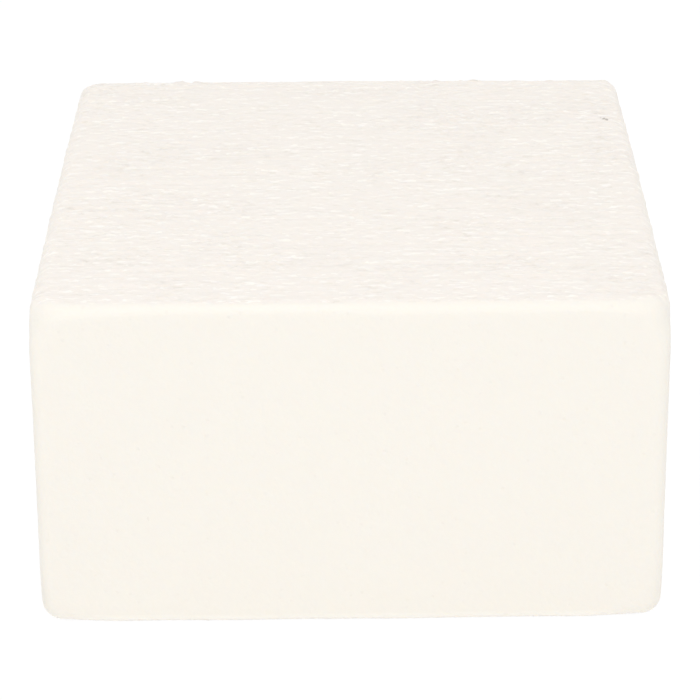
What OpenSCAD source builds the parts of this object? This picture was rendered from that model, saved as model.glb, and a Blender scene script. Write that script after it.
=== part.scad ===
// Foam block: one solid piece of fine-celled white foam, cut square, with
// six flat faces and softly rounded edges and corners.
//
// Frame: the origin is at the centre of the base, +X runs along the width,
// +Y from the front face to the back face, and +Z up. All sizes are in mm.

/* [Block] */
// Width, from the left face to the right face
block_w = 90; // [30:1:300]
// Depth, from the front face to the back face
block_d = 100; // [30:1:300]
// Height, from the base to the top face
block_h = 50; // [15:1:150]

/* [Rounding] */
// Radius of the four upright corners, as seen from above
corner_r = 3.6; // [3:0.1:12]
// Radius of the rounding along the edges of the top and the base
edge_r = 2.6; // [0.5:0.1:3]

/* [Hidden] */
FOAM = [0.96, 0.94, 0.90];
$fn = 96;

// Distance of each upright corner's axis from the middle of the block
axis_x = block_w / 2 - corner_r;
axis_y = block_d / 2 - corner_r;

// Section of the block across one direction: a rectangle of the given width
// and the block's height, standing on the X axis, its corners rounded by edge_r.
module section(width) {
    round_x = width / 2 - edge_r;
    translate([-round_x, 0])
        square([2 * round_x, block_h]);
    translate([-width / 2, edge_r])
        square([width, block_h - 2 * edge_r]);
    for (x = [-round_x, round_x], z = [edge_r, block_h - edge_r])
        translate([x, z])
            circle(r = edge_r);
}

// Straight run between the left and right corners, with the front and back
// faces and their rounded edges.
module run_along_x() {
    rotate([90, 0, 90])
        linear_extrude(height = 2 * axis_x, center = true)
            section(block_d);
}

// Straight run between the front and back corners, with the left and right
// faces and their rounded edges.
module run_along_y() {
    rotate([90, 0, 0])
        linear_extrude(height = 2 * axis_y, center = true)
            section(block_w);
}

// Turned post that rounds one upright corner and the edges that meet it.
module corner_post() {
    rotate_extrude()
        intersection() {
            section(2 * corner_r);
            square([corner_r, block_h]);
        }
}

module foam_block() {
    color(FOAM)
        union() {
            run_along_x();
            run_along_y();
            for (x = [-axis_x, axis_x], y = [-axis_y, axis_y])
                translate([x, y, 0])
                    corner_post();
        }
}

foam_block();
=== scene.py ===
"""The foam block: a slab of fine-celled foam cut square, dressed and lit for its studio view.

The block is one piece. Its top and base are sawn, so they carry short streaks that run
along the width. Its four sides are smooth, with scattered pin-holes.
"""

import math

import bmesh
import bpy
from mathutils import Matrix, Vector, noise


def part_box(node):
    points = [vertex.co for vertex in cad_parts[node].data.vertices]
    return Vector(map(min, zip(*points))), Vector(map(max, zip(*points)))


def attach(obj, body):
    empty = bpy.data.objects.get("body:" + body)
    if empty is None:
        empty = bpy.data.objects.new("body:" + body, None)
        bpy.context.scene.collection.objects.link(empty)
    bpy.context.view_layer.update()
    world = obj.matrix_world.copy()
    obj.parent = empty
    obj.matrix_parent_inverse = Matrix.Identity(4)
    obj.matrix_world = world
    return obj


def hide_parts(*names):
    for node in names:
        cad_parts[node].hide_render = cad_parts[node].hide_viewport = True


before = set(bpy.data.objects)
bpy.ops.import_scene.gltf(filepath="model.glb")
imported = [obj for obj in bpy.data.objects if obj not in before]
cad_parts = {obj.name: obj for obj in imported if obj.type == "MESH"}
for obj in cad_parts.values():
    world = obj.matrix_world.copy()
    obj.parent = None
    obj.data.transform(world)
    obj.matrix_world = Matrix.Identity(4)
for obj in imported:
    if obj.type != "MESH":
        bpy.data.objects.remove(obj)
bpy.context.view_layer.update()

MM = 0.001

# The block's place and size, from the CAD node that it dresses
LOW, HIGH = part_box("foam_block")
MIDDLE = (LOW + HIGH) / 2
SIZE = HIGH - LOW

# ---- Form. A pair that isn't a size gives where a change begins and where it is complete.

# The body, before its faces bow and roughen, is smaller than the CAD box by TRIM.
TRIM = Vector((0.46, 0.4, 0.6)) * MM
BODY = SIZE - TRIM
EDGE_RADIUS = 2.6 * MM
EDGE_STEPS = 8
GRID_PITCH = (0.5 * MM, 0.28 * MM, 0.5 * MM)
MOST_TRIANGLES = 190_000

# How far the faces bow out, how far the front is out of square at half height, and the share
# of that which is lost at the top and added at the foot
SIDE_BOW = 0.2 * MM
OUT_OF_SQUARE = 0.25 * MM
SQUARER_ABOVE = 0.6

# Radius along the middle of the front's top and base edges. It wavers a little, and grows to
# EDGE_RADIUS towards the corners (from and to a share of the half width). The faces beside
# the edge stretch over EDGE_SPAN to meet it.
FRONT_EDGES = {"top": 1.55 * MM, "base": 1.3 * MM}
EDGE_SPAN = 12 * MM
EDGE_GROWS = (0.72, 1.06)
EDGE_WAVER = 0.2
WAVER_LENGTH = 11.0

# Plan radius of the front's upright corners: the same along most of their height, then worn
# rounder towards each end (from and to a share of the half height)
UPRIGHT_RADIUS = 1.8 * MM
WORN_RADIUS = {
    ("left", "top"): 5.2 * MM,
    ("right", "top"): 5.4 * MM,
    ("left", "base"): 3.1 * MM,
    ("right", "base"): 2.9 * MM,
}
CORNER_WEARS = (0.70, 0.98)

# Which places are sawn, by how far they face down, up or forward
SAWN_FACING_DOWN = (0.90, 0.99)
SAWN_FACING_UP = (0.30, 0.85)
SMOOTH_FACING_FRONT = (0.12, 0.40)

# The sawn streaks, in mm: length along the width, pitch from front to back, the calm part of
# their noise that leaves no mark, and depth
STREAKS = {
    "short": {"length": 1.5, "pitch": 0.7, "calm": 0.26, "depth": 0.56},
    "long": {"length": 6.0, "pitch": 0.9, "calm": 0.12, "depth": 0.13},
    "rows": {"length": 30.0, "pitch": 0.85, "calm": 0.08, "depth": 0.26},
}
PIT_SHARE = 0.65
STREAK_CURL = 0.5
STREAK_RISE = 9.0
CURL_SIZE = (2.6, 2.2)
PATCH_SIZE = (14.0, 8.0)
PATCH_EDGE = (-0.15, 0.35)
CALM_PATCH = 0.5

# Where the saw's last cut runs along the top, from the block's middle towards the back, its
# half width and its depth, in mm
LAST_CUT = -45.1
LAST_CUT_WIDTH = 0.55
LAST_CUT_DEPTH = 0.07

# Faint unevenness of every face, and the bites along the top's left and right edges, in mm
WIDE_LUMP = {"size": 9.0, "height": 0.025, "pattern": Vector((4.1, 9.2, 1.7))}
FINE_LUMP = {"size": 1.3, "height": 0.012, "pattern": Vector((8.5, 2.2, 6.4))}
BITE_DEPTH = 0.2
BITE_SIZE = (9.0, 1.9, 2.5)
BITES_BELOW_TOP = (6.0, 1.5)
BITES_FROM_SIDE = (4.0, 1.5)

# Each of these only picks which pattern a noise gives.
WAVER_PATTERN = 3.7
CURL_PATTERN = 7.3
PATCH_PATTERN = 31.7
SHORT_PATTERN = 3.1
LONG_PATTERN = 57.9
ROW_PATTERN = 12.3

# Thinning folds a few slivers over: two faces whose normals agree less than FOLDED are mended.
FOLDED = 0.2
MEND_ROUNDS = 4

# ---- Finish. Lengths are in mm, and a pair again gives where a change begins and ends.

FOAM_COLOUR = (0.911, 0.874, 0.807, 1.0)
SAWN_FOAM = (0.918, 0.864, 0.808, 1.0)
# The dark colour is the mottle's darker tone, and also painted shade in the pin-holes and in the
# dark dashes beside the pale ones.
DARK_FOAM_AND_SHADE = (0.848, 0.798, 0.735, 1.0)
# The pale colour makes the pale dashes, partly the sawn foam's own tone and partly a painted
# highlight, and the painted light at the foot.
PALE_FOAM_AND_LIGHT = (1.0, 0.958, 0.897, 1.0)
# The spots' colour: dirt, and painted shade in a nick.
DIRT_AND_PAINTED_SHADE = (0.46, 0.42, 0.38, 1.0)
WHITE = (1.0, 1.0, 1.0, 1.0)

GRAIN_HEIGHT = 0.08
HOLE_DEPTH = 0.035
HOLE_EDGE = (0.08, 0.2)
# Share of the dark colour painted into the pin-holes by their depth: painted shade.
HOLE_PAINTED_SHADE = 0.35
DEEPEST_HOLE = 0.8
MOTTLE_SHADE = 0.06
# The foam is painted paler towards the floor, from the first height down to the second, by the
# share after them: painted light that offsets the shade along the contact line.
PAINTED_LIGHT_HEIGHT = (1.6, 0.5)
FOOT_PAINTED_LIGHT = 0.8

# Pale and dark dashes on the sawn faces: partly the sawn foam's own tone, partly painted
# highlight on torn rims and painted shade in the gaps beside them. The pattern is taken away from
# itself one row in front and one row behind, so that pale dashes have dark ones beside them.
DASH_SIZE = (1.7, 0.5, 9.0)
DASH_ROWS = ((0.0, 1.0), (0.9, -0.25), (-0.9, -0.25))
LONG_DASH_SIZE = (5.0, 0.62, 9.0)
LONG_DASH_SHARE = 0.2
DASH_PATCH_SIZE = (9.0, 6.0, 9.0)
PALE_DASH = (0.442, 0.488)
DARK_DASH = (0.232, 0.152)
FAINTEST_DASH = 0.5

# Dark spots: dirt on the top, painted shade inside a nick near the front's foot, and darker spots
# on the front and along the top's side edges. For each: where it lies, from the block's middle,
# its half-sizes, and how dark it is, from 0 to 1. Their outlines are ragged by RAGGED.
SPECKS = (
    ((41.1, 28.1, 24.5), (0.42, 0.7, 1.0), 1.0),
    ((41.5, 27.5, 24.5), (0.36, 0.4, 1.0), 0.9),
    ((40.6, 28.8, 24.5), (0.2, 0.3, 1.0), 0.3),
    ((-28.9, -49.9, -8.2), (0.12, 1.0, 0.5), 0.1),
    # Painted shade: the dark inside of a nick near the front's foot.
    ((22.2, -49.9, -24.1), (0.5, 1.0, 0.35), 0.08),
    ((43.9, -12.3, 24.5), (0.5, 0.6, 1.0), 0.22),
    ((44.0, -19.8, 24.5), (0.4, 0.7, 1.0), 0.25),
    ((44.0, 8.4, 24.5), (0.4, 0.6, 1.0), 0.22),
    ((-44.4, -34.5, 24.5), (0.5, 0.7, 1.0), 0.25),
    ((-43.9, -30.6, 24.5), (0.4, 0.5, 1.0), 0.2),
)
RAGGED = 0.4

# ---- Stage. Light levels are such that 1 shows a colour as it is written.

SKY_LEVEL = 0.942
FLOOR_COLOUR = (0.94, 0.94, 0.94, 1.0)
FLOOR_GLOW = 1.03
FLOOR_GLOW_SHARE = 0.9
FLOOR_REACH = 4.0
FLOOR_GAP = 0.02 * MM

# Pale foam on a pale floor passes light to and fro many times.
DIFFUSE_BOUNCES = 8
MOST_BOUNCES = 12

# Camera: angles in degrees, distance from the block's middle in metres, how far it sits below
# the line through that middle, and lens and sensor in mm
LOOKS_DOWN = 23.24
LEANS = -0.38
CAMERA_DISTANCE = 0.489
SITS_LOWER = 3.46
LENS = 161.3
SENSOR = 36.0
NEAREST_SHOWN = 0.01
FARTHEST_SHOWN = 20.0


# ---------------------------------------------------------------- form


def smooth(low, high, value):
    """0 below low, 1 above high, and a smooth ramp between them."""
    t = min(max((value - low) / (high - low), 0.0), 1.0)
    return t * t * (3.0 - 2.0 * t)


def noise_at(x, y, z):
    """Smooth noise between about -1 and 1, whose bumps are about 1 across."""
    return noise.noise(Vector((x, y, z)))


def grid_block():
    """A block with rounded edges around the origin, its flat faces cut into a fine grid."""
    bm = bmesh.new()
    bmesh.ops.create_cube(bm, size=1.0)
    bmesh.ops.scale(bm, vec=BODY, verts=bm.verts)
    bmesh.ops.bevel(
        bm,
        geom=bm.edges[:],
        offset=EDGE_RADIUS,
        segments=EDGE_STEPS,
        profile=0.5,
        affect="EDGES",
        material=-1,
    )
    for axis in range(3):
        flat = BODY[axis] - 2 * EDGE_RADIUS
        long_edges = [
            e for e in bm.edges if abs(e.verts[0].co[axis] - e.verts[1].co[axis]) > flat / 2
        ]
        cuts = round(flat / GRID_PITCH[axis]) - 1
        bmesh.ops.subdivide_edges(bm, edges=long_edges, cuts=cuts, use_grid_fill=True)
    return bm


def tighten_front_edge(bm, side, middle_radius):
    """Gives the front's top edge (side 1) or base edge (side -1) a smaller radius."""
    half = BODY / 2
    for v in bm.verts:
        out = -v.co.y - (half.y - EDGE_RADIUS)
        up = side * v.co.z - (half.z - EDGE_RADIUS)
        if min(out, up) < -EDGE_SPAN:
            continue
        near_corner = smooth(*EDGE_GROWS, abs(v.co.x) / half.x)
        waver = 1 + EDGE_WAVER * noise_at(v.co.x / MM / WAVER_LENGTH, side, WAVER_PATTERN)
        radius = EDGE_RADIUS + (middle_radius * waver - EDGE_RADIUS) * (1 - near_corner)
        v.co.y = -(half.y - EDGE_RADIUS + tightened(out, radius))
        v.co.z = side * (half.z - EDGE_RADIUS + tightened(up, radius))


def tightened(reach, radius):
    """Where a point ends that reached this far beyond, or before, the start of the rounding."""
    spare = EDGE_RADIUS - radius
    if reach > 0:
        return spare + reach * radius / EDGE_RADIUS
    return reach + spare * max(0.0, 1 + reach / EDGE_SPAN)


def round_front_corners(bm):
    """Gives the front's upright corners their own radius, which grows towards their ends."""
    half = BODY / 2
    for v in bm.verts:
        side, sign = ("left", -1) if v.co.x < 0 else ("right", 1)
        end = "base" if v.co.z < 0 else "top"
        near_end = smooth(*CORNER_WEARS, abs(v.co.z) / half.z)
        radius = UPRIGHT_RADIUS + (WORN_RADIUS[side, end] - UPRIGHT_RADIUS) * near_end
        zone = max(radius, EDGE_RADIUS)
        out_x = abs(v.co.x) - (half.x - zone)
        out_y = -v.co.y - (half.y - zone)
        if out_x <= 0 or out_y <= 0:
            continue
        old = corner_reach(out_x, out_y, zone, EDGE_RADIUS)
        new = corner_reach(out_x, out_y, zone, radius)
        v.co.x = sign * (half.x - zone + out_x * new / old)
        v.co.y = -(half.y - zone + out_y * new / old)


def corner_reach(u, v, zone, radius):
    """How far a corner of a radius reaches along (u, v), from a point zone inside both faces."""
    length = math.hypot(u, v)
    c, s = u / length, v / length
    shift = zone - radius
    if s * zone <= c * shift:
        return zone / c
    if c * zone <= s * shift:
        return zone / s
    across = shift * (c - s)
    return shift * (c + s) + math.sqrt(radius**2 - across**2)


def bend_faces(bm):
    """Bows the faces out a little and sets the front slightly out of square, most at its foot."""
    half = SIZE / 2
    for v in bm.verts:
        x, y, z = (v.co[k] / half[k] for k in range(3))
        v.co.x += x * SIDE_BOW * (1 - y * y)
        v.co.y += y * SIDE_BOW * (1 - x * x)
        v.co.y += OUT_OF_SQUARE * x * (1 - y) / 2 * (1 - SQUARER_ABOVE * z)
        if z > 0:
            v.co.z += z * SIDE_BOW / 2 * (1 - x * x)


def sawn_share(normal):
    """How sawn a place is: 1 on the top and base, 0 on the sides, and between at their edges."""
    if normal.z < 0:
        return smooth(*SAWN_FACING_DOWN, -normal.z)
    return smooth(*SAWN_FACING_UP, normal.z) * (1 - smooth(*SMOOTH_FACING_FRONT, -normal.y))


def torn(value, calm):
    """Noise with its calm middle flattened, so that only its peaks and pits stand out."""
    over = max(abs(value) - calm, 0.0)
    return math.copysign(over, value)


def streak(kind, x, row, layer):
    """One kind of streak, before its depth, at a place in mm along and across the rows."""
    shape = STREAKS[kind]
    return torn(noise_at(x / shape["length"], row / shape["pitch"], layer), shape["calm"])


def streak_height(p):
    """Height of the sawn streaks in mm, at a place in mm."""
    curl_x, curl_y = CURL_SIZE
    patch_x, patch_y = PATCH_SIZE
    row = p.y + STREAK_CURL * noise_at(p.x / curl_x, p.y / curl_y, p.z + CURL_PATTERN)
    patch = smooth(*PATCH_EDGE, noise_at(p.x / patch_x, p.y / patch_y, PATCH_PATTERN))
    short = streak("short", p.x, row, p.z / STREAK_RISE + SHORT_PATTERN)
    if short < 0:
        short *= PIT_SHARE
    height = STREAKS["short"]["depth"] * (CALM_PATCH + patch) * short
    height += STREAKS["long"]["depth"] * streak("long", p.x, row, LONG_PATTERN)
    height += STREAKS["rows"]["depth"] * streak("rows", p.x, row, ROW_PATTERN)
    last_cut = math.exp(-(((row - LAST_CUT) / LAST_CUT_WIDTH) ** 2))
    return height - LAST_CUT_DEPTH * last_cut


def lump_height(p):
    """Height in mm of the faint unevenness that every face has."""
    lumps = (WIDE_LUMP, FINE_LUMP)
    return sum(k["height"] * noise.noise(p / k["size"] + k["pattern"]) for k in lumps)


def nibble_height(p):
    """Height in mm of the small bites along the top's left and right edges."""
    half = BODY / 2 / MM
    near_side = smooth(*(half.x - inset for inset in BITES_FROM_SIDE), abs(p.x))
    near_top = smooth(*(half.z - depth for depth in BITES_BELOW_TOP), p.z)
    if near_side == 0 or near_top == 0:
        return 0.0
    bite = noise_at(*(p[k] / BITE_SIZE[k] for k in range(3)))
    return BITE_DEPTH * near_side * near_top * bite


def roughen(bm):
    """Moves each point along its normal by the streaks, lumps and bites of its place."""
    bm.normal_update()
    sawn = bm.verts.layers.float.new("sawn")
    moves = []
    for v in bm.verts:
        p = v.co / MM
        share = sawn_share(v.normal)
        rise = lump_height(p) + nibble_height(p)
        if share > 0:
            rise += share * streak_height(p)
        v[sawn] = share
        moves.append(v.normal * rise * MM)
    for v, move in zip(bm.verts, moves):
        v.co += move


def seat_on_base(bm):
    """Sets the block on the floor and flattens what would reach below it."""
    bmesh.ops.translate(bm, vec=MIDDLE - Vector((0, 0, TRIM.z / 2)), verts=bm.verts)
    for v in bm.verts:
        v.co.z = max(v.co.z, LOW.z)


def foam_block():
    """The whole block, shaped, roughened and thinned."""
    bm = grid_block()
    tighten_front_edge(bm, 1, FRONT_EDGES["top"])
    tighten_front_edge(bm, -1, FRONT_EDGES["base"])
    round_front_corners(bm)
    bend_faces(bm)
    roughen(bm)
    seat_on_base(bm)
    mesh = bpy.data.meshes.new("foam_block_skin")
    bm.to_mesh(mesh)
    bm.free()
    block = bpy.data.objects.new("foam_block_skin", mesh)
    bpy.context.collection.objects.link(block)
    thin(block)
    block.data.shade_smooth()
    return block


def thin(piece):
    """Joins the points that its shape doesn't need, and applies the result."""
    triangles = sum(len(p.vertices) - 2 for p in piece.data.polygons)
    thinning = piece.modifiers.new("thin", "DECIMATE")
    thinning.ratio = min(1.0, MOST_TRIANGLES / triangles)
    graph = bpy.context.evaluated_depsgraph_get()
    thinned = bpy.data.meshes.new_from_object(piece.evaluated_get(graph), depsgraph=graph)
    piece.modifiers.clear()
    piece.data = thinned
    mend_folds(thinned)


def mend_folds(mesh):
    """Closes up the few slivers that thinning has folded over."""
    bm = bmesh.new()
    bm.from_mesh(mesh)
    for _ in range(MEND_ROUNDS):
        bm.normal_update()
        folds = [e for e in bm.edges if is_folded(e)]
        if not folds:
            break
        bmesh.ops.collapse(bm, edges=folds)
    bm.to_mesh(mesh)
    bm.free()


def is_folded(edge):
    """Whether the two faces at an edge turn back on each other."""
    if len(edge.link_faces) != 2:
        return False
    first, second = edge.link_faces
    return first.normal.dot(second.normal) < FOLDED


# ---------------------------------------------------------------- materials


class Finish:
    """A node material in the making. Its methods add a node and return that node's output."""

    def __init__(self, name):
        self.material = bpy.data.materials.new(name)
        self.material.use_nodes = True
        self.nodes = self.material.node_tree.nodes
        self.links = self.material.node_tree.links
        self.shader = self.nodes["Principled BSDF"]

    def feed(self, socket, value):
        """Links an output to a socket, or sets the socket to a plain value."""
        if isinstance(value, bpy.types.NodeSocket):
            self.links.new(value, socket)
        else:
            socket.default_value = value

    def place(self):
        """The place on the piece, in mm."""
        coordinates = self.nodes.new("ShaderNodeTexCoord")
        scale = self.nodes.new("ShaderNodeVectorMath")
        scale.operation = "SCALE"
        scale.inputs["Scale"].default_value = 1 / MM
        self.links.new(coordinates.outputs["Object"], scale.inputs[0])
        return scale.outputs["Vector"]

    def height(self, place):
        """The height above the floor, in mm."""
        split = self.nodes.new("ShaderNodeSeparateXYZ")
        self.links.new(place, split.inputs["Vector"])
        return split.outputs["Z"]

    def attribute(self, name):
        """A value that the mesh carries at each of its points."""
        attribute = self.nodes.new("ShaderNodeAttribute")
        attribute.attribute_name = name
        return attribute.outputs["Fac"]

    def stretch(self, vector, centre, size):
        """The vector seen from a centre and measured in sizes."""
        mapping = self.nodes.new("ShaderNodeMapping")
        mapping.vector_type = "TEXTURE"
        mapping.inputs["Location"].default_value = centre
        mapping.inputs["Scale"].default_value = size
        self.links.new(vector, mapping.inputs["Vector"])
        return mapping.outputs["Vector"]

    def noise(self, vector, scale, detail, roughness=0.6, distortion=0.0):
        """Smooth noise between 0 and 1."""
        texture = self.nodes.new("ShaderNodeTexNoise")
        texture.inputs["Scale"].default_value = scale
        texture.inputs["Detail"].default_value = detail
        texture.inputs["Roughness"].default_value = roughness
        texture.inputs["Distortion"].default_value = distortion
        self.links.new(vector, texture.inputs["Vector"])
        return texture.outputs["Fac"]

    def ramp(self, value, low, high, start=0.0, end=1.0):
        """Start where the value is at low, end where it is at high, smooth between them."""
        ramp = self.nodes.new("ShaderNodeMapRange")
        ramp.interpolation_type = "SMOOTHSTEP"
        ramp.inputs["From Min"].default_value = low
        ramp.inputs["From Max"].default_value = high
        ramp.inputs["To Min"].default_value = start
        ramp.inputs["To Max"].default_value = end
        self.links.new(value, ramp.inputs["Value"])
        return ramp.outputs["Result"]

    def maths(self, operation, first, second):
        """Two values, added, multiplied or whatever else the operation says."""
        node = self.nodes.new("ShaderNodeMath")
        node.operation = operation
        self.feed(node.inputs[0], first)
        self.feed(node.inputs[1], second)
        return node.outputs[0]

    def mix(self, share, first, second):
        """The first colour where the share is 0 and the second where it is 1."""
        mix = self.nodes.new("ShaderNodeMix")
        mix.data_type = "RGBA"
        self.feed(mix.inputs["Factor"], share)
        self.feed(mix.inputs["A"], first)
        self.feed(mix.inputs["B"], second)
        return mix.outputs["Result"]


def foam_material():
    """Warm white foam: matt and faintly mottled, with fine cells, pin-holes and torn streaks."""
    foam = Finish("cut_foam")
    place = foam.place()
    sawn = foam.attribute("sawn")
    hole = pin_holes(foam, place)
    raise_grain(foam, place, hole)

    mottle = foam.noise(place, scale=0.35, detail=5.0, roughness=0.65)
    # Painted light: the foam is paler near the floor, against the shade at the contact line.
    foot = foam.ramp(foam.height(place), *PAINTED_LIGHT_HEIGHT, end=FOOT_PAINTED_LIGHT)
    colour = foam.mix(sawn, FOAM_COLOUR, SAWN_FOAM)
    colour = foam.mix(foam.ramp(mottle, 0.3, 0.7, end=MOTTLE_SHADE), colour, DARK_FOAM_AND_SHADE)
    # Painted shade: pin-holes are darker, the more so the deeper they are.
    colour = foam.mix(foam.maths("MULTIPLY", hole, HOLE_PAINTED_SHADE), colour, DARK_FOAM_AND_SHADE)
    colour = foam.mix(foot, colour, PALE_FOAM_AND_LIGHT)
    # Painted highlight and shade along the sawn streaks, partly the foam's own tone.
    colour = dashes_and_painted_light(foam, place, sawn, colour)
    # Dirt, painted shade in a nick, and other darker spots.
    colour = specked(foam, place, colour)

    foam.feed(foam.shader.inputs["Base Color"], colour)
    foam.shader.inputs["Roughness"].default_value = 0.5
    foam.shader.inputs["Specular IOR Level"].default_value = 0.5
    foam.shader.inputs["Subsurface Weight"].default_value = 0.3
    foam.shader.inputs["Subsurface Radius"].default_value = (1.0, 0.9, 0.75)
    foam.shader.inputs["Subsurface Scale"].default_value = 1.2 * MM
    return foam.material


def pin_holes(foam, place):
    """How deep a pin-hole is at a place. There is one hole in each cell, and some are shallow."""
    cells = foam.nodes.new("ShaderNodeTexVoronoi")
    cells.inputs["Scale"].default_value = 0.6
    foam.links.new(place, cells.inputs["Vector"])
    split = foam.nodes.new("ShaderNodeSeparateColor")
    foam.links.new(cells.outputs["Color"], split.inputs["Color"])
    deep = foam.ramp(split.outputs["Red"], 0.1, 1.0, end=DEEPEST_HOLE)
    hole = foam.ramp(cells.outputs["Distance"], *HOLE_EDGE, start=1.0, end=0.0)
    return foam.maths("MULTIPLY", hole, deep)


def raise_grain(foam, place, hole):
    """Gives the shader the fine relief of the foam's grain and of its pin-holes."""
    grain = foam.noise(place, scale=1.15, detail=2.0, roughness=0.5)
    height = foam.maths(
        "SUBTRACT",
        foam.maths("MULTIPLY", grain, GRAIN_HEIGHT),
        foam.maths("MULTIPLY", hole, HOLE_DEPTH),
    )
    bump = foam.nodes.new("ShaderNodeBump")
    bump.inputs["Strength"].default_value = 1.0
    bump.inputs["Distance"].default_value = MM
    foam.links.new(height, bump.inputs["Height"])
    foam.links.new(bump.outputs["Normal"], foam.shader.inputs["Normal"])


def dashes_and_painted_light(foam, place, sawn, colour):
    """The colour with pale and dark dashes along the width, where the foam is sawn. They are
    partly the foam's own tone, partly painted highlight on torn rims and painted shade beside
    them.
    """
    long_place = foam.stretch(place, (5, 3, 0), LONG_DASH_SIZE)
    long = foam.noise(long_place, scale=1.0, detail=1.0)
    dashes = foam.maths("MULTIPLY", long, LONG_DASH_SHARE)
    for behind, share in DASH_ROWS:
        short_place = foam.stretch(place, (0, behind, 0), DASH_SIZE)
        short = foam.noise(short_place, scale=1.0, detail=2.0, roughness=0.5, distortion=0.3)
        dashes = foam.maths("ADD", dashes, foam.maths("MULTIPLY", short, share))
    patch_place = foam.stretch(place, (2, 7, 0), DASH_PATCH_SIZE)
    patches = foam.noise(patch_place, scale=1.0, detail=1.0)
    clear = foam.ramp(patches, 0.35, 0.65, start=FAINTEST_DASH, end=1.0)
    strength = foam.maths("MULTIPLY", clear, sawn)
    pale = foam.maths("MULTIPLY", foam.ramp(dashes, *PALE_DASH), strength)
    dark = foam.maths("MULTIPLY", foam.ramp(dashes, *DARK_DASH), strength)
    # Pale dashes are partly a painted highlight, dark ones partly painted shade.
    colour = foam.mix(pale, colour, PALE_FOAM_AND_LIGHT)
    return foam.mix(dark, colour, DARK_FOAM_AND_SHADE)


def specked(foam, place, colour):
    """The colour with its ragged dark spots: dirt, painted shade in a nick, and other darker
    spots.
    """
    wander = foam.nodes.new("ShaderNodeTexNoise")
    wander.inputs["Scale"].default_value = 2.5
    foam.links.new(place, wander.inputs["Vector"])
    ragged = foam.nodes.new("ShaderNodeVectorMath")
    ragged.operation = "MULTIPLY_ADD"
    foam.links.new(wander.outputs["Color"], ragged.inputs[0])
    ragged.inputs[1].default_value = (RAGGED, RAGGED, RAGGED)
    foam.links.new(place, ragged.inputs[2])
    usual_shift = Vector((RAGGED / 2, RAGGED / 2, RAGGED / 2))
    for offset, size, darkness in SPECKS:
        centre = Vector(offset) + MIDDLE / MM + usual_shift
        spot = foam.nodes.new("ShaderNodeTexGradient")
        spot.gradient_type = "SPHERICAL"
        foam.links.new(foam.stretch(ragged.outputs[0], centre, size), spot.inputs["Vector"])
        share = foam.ramp(spot.outputs["Fac"], 0.0, 0.5, end=darkness)
        colour = foam.mix(share, colour, DIRT_AND_PAINTED_SHADE)
    return colour


def floor_material():
    """White to the camera, with part of its light still its own so that it keeps the shadow."""
    floor = Finish("white_floor")
    floor.shader.inputs["Base Color"].default_value = FLOOR_COLOUR
    floor.shader.inputs["Roughness"].default_value = 0.8
    floor.shader.inputs["Specular IOR Level"].default_value = 0.0
    glow = floor.nodes.new("ShaderNodeEmission")
    glow.inputs["Color"].default_value = WHITE
    glow.inputs["Strength"].default_value = FLOOR_GLOW
    rays = background_rays(floor.nodes, floor.links)
    mix = floor.nodes.new("ShaderNodeMixShader")
    floor.links.new(floor.maths("MULTIPLY", rays, FLOOR_GLOW_SHARE), mix.inputs["Fac"])
    floor.links.new(floor.shader.outputs["BSDF"], mix.inputs[1])
    floor.links.new(glow.outputs["Emission"], mix.inputs[2])
    floor.links.new(mix.outputs["Shader"], floor.nodes["Material Output"].inputs["Surface"])
    return floor.material


def background_rays(nodes, links):
    """1 for the rays that show the background: the camera's own, and those in gloss and glass."""
    path = nodes.new("ShaderNodeLightPath")
    seen = path.outputs["Is Camera Ray"]
    for ray in ("Is Glossy Ray", "Is Transmission Ray"):
        either = nodes.new("ShaderNodeMath")
        either.operation = "MAXIMUM"
        links.new(seen, either.inputs[0])
        links.new(path.outputs[ray], either.inputs[1])
        seen = either.outputs[0]
    return seen


# ---------------------------------------------------------------- stage


def white_floor():
    """A wide floor just under the block."""
    bm = bmesh.new()
    bmesh.ops.create_grid(bm, x_segments=1, y_segments=1, size=FLOOR_REACH)
    bmesh.ops.translate(bm, vec=(MIDDLE.x, MIDDLE.y, LOW.z - FLOOR_GAP), verts=bm.verts)
    mesh = bpy.data.meshes.new("floor")
    bm.to_mesh(mesh)
    bm.free()
    floor = bpy.data.objects.new("floor", mesh)
    bpy.context.collection.objects.link(floor)
    floor.data.materials.append(floor_material())


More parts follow.
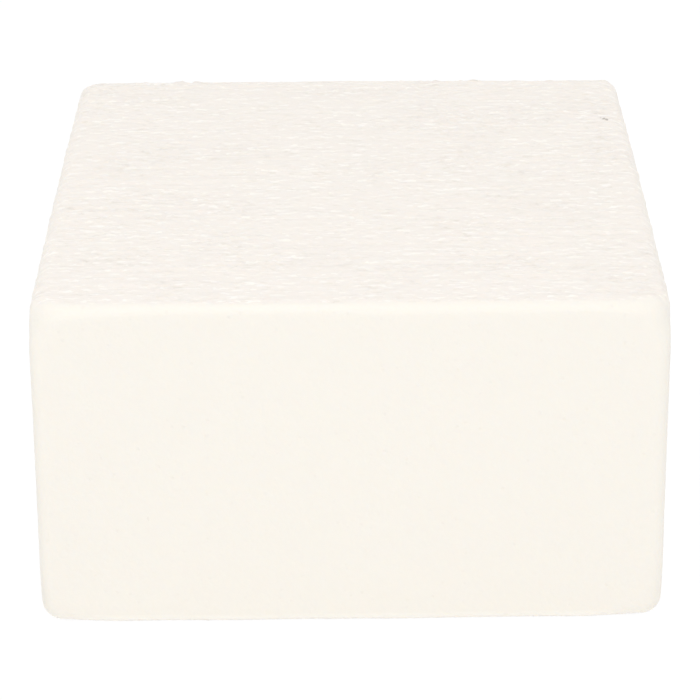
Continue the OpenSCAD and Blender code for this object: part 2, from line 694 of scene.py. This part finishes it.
def sky():
    """Even light from all round, which the camera sees as plain white."""
    world = bpy.data.worlds.new("studio")
    bpy.context.scene.world = world
    world.use_nodes = True
    nodes, links = world.node_tree.nodes, world.node_tree.links
    level = nodes.new("ShaderNodeMix")
    level.inputs["A"].default_value = SKY_LEVEL
    level.inputs["B"].default_value = 1.0
    links.new(background_rays(nodes, links), level.inputs["Factor"])
    links.new(level.outputs["Result"], nodes["Background"].inputs["Strength"])
    nodes["Background"].inputs["Color"].default_value = WHITE


def softbox(name, azimuth, elevation, distance, side, level):
    """A square lamp that faces the block. A level of 1 would light a facing surface fully."""
    lamp = bpy.data.lights.new(name, "AREA")
    lamp.shape = "SQUARE"
    lamp.size = side
    lamp.energy = level * (math.pi * distance) ** 2
    a, e = math.radians(azimuth), math.radians(elevation)
    towards = Vector((math.sin(a) * math.cos(e), -math.cos(a) * math.cos(e), math.sin(e)))
    holder = bpy.data.objects.new(name, lamp)
    holder.location = MIDDLE + towards * distance
    holder.rotation_euler = towards.to_track_quat("Z", "Y").to_euler()
    bpy.context.collection.objects.link(holder)


def camera():
    """A long lens from the front, looking down on the block."""
    elevation, roll = math.radians(LOOKS_DOWN), math.radians(LEANS)
    ahead = Vector((0, math.cos(elevation), -math.sin(elevation)))
    level_right = Vector((1, 0, 0))
    level_up = level_right.cross(ahead)
    right = math.cos(roll) * level_right + math.sin(roll) * level_up
    up = math.cos(roll) * level_up - math.sin(roll) * level_right
    lens = bpy.data.cameras.new("camera")
    lens.sensor_width = SENSOR
    lens.lens = LENS
    lens.clip_start = NEAREST_SHOWN
    lens.clip_end = FARTHEST_SHOWN
    holder = bpy.data.objects.new("camera", lens)
    place = MIDDLE - ahead * CAMERA_DISTANCE - up * SITS_LOWER * MM
    turn = Matrix((right, up, -ahead)).transposed()
    holder.matrix_world = Matrix.Translation(place) @ turn.to_4x4()
    bpy.context.collection.objects.link(holder)
    bpy.context.scene.camera = holder


# ---------------------------------------------------------------- the scene

camera()
block = foam_block()
block.data.materials.append(foam_material())
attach(block, "root")
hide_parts("foam_block")

white_floor()
sky()
softbox("key", azimuth=-10, elevation=56, distance=0.45, side=0.23, level=0.0925)
softbox("front_fill", azimuth=0, elevation=10, distance=0.7, side=0.45, level=0.079)

bpy.context.scene.cycles.diffuse_bounces = DIFFUSE_BOUNCES
bpy.context.scene.cycles.max_bounces = MOST_BOUNCES
bpy.context.scene.view_settings.view_transform = "Standard"
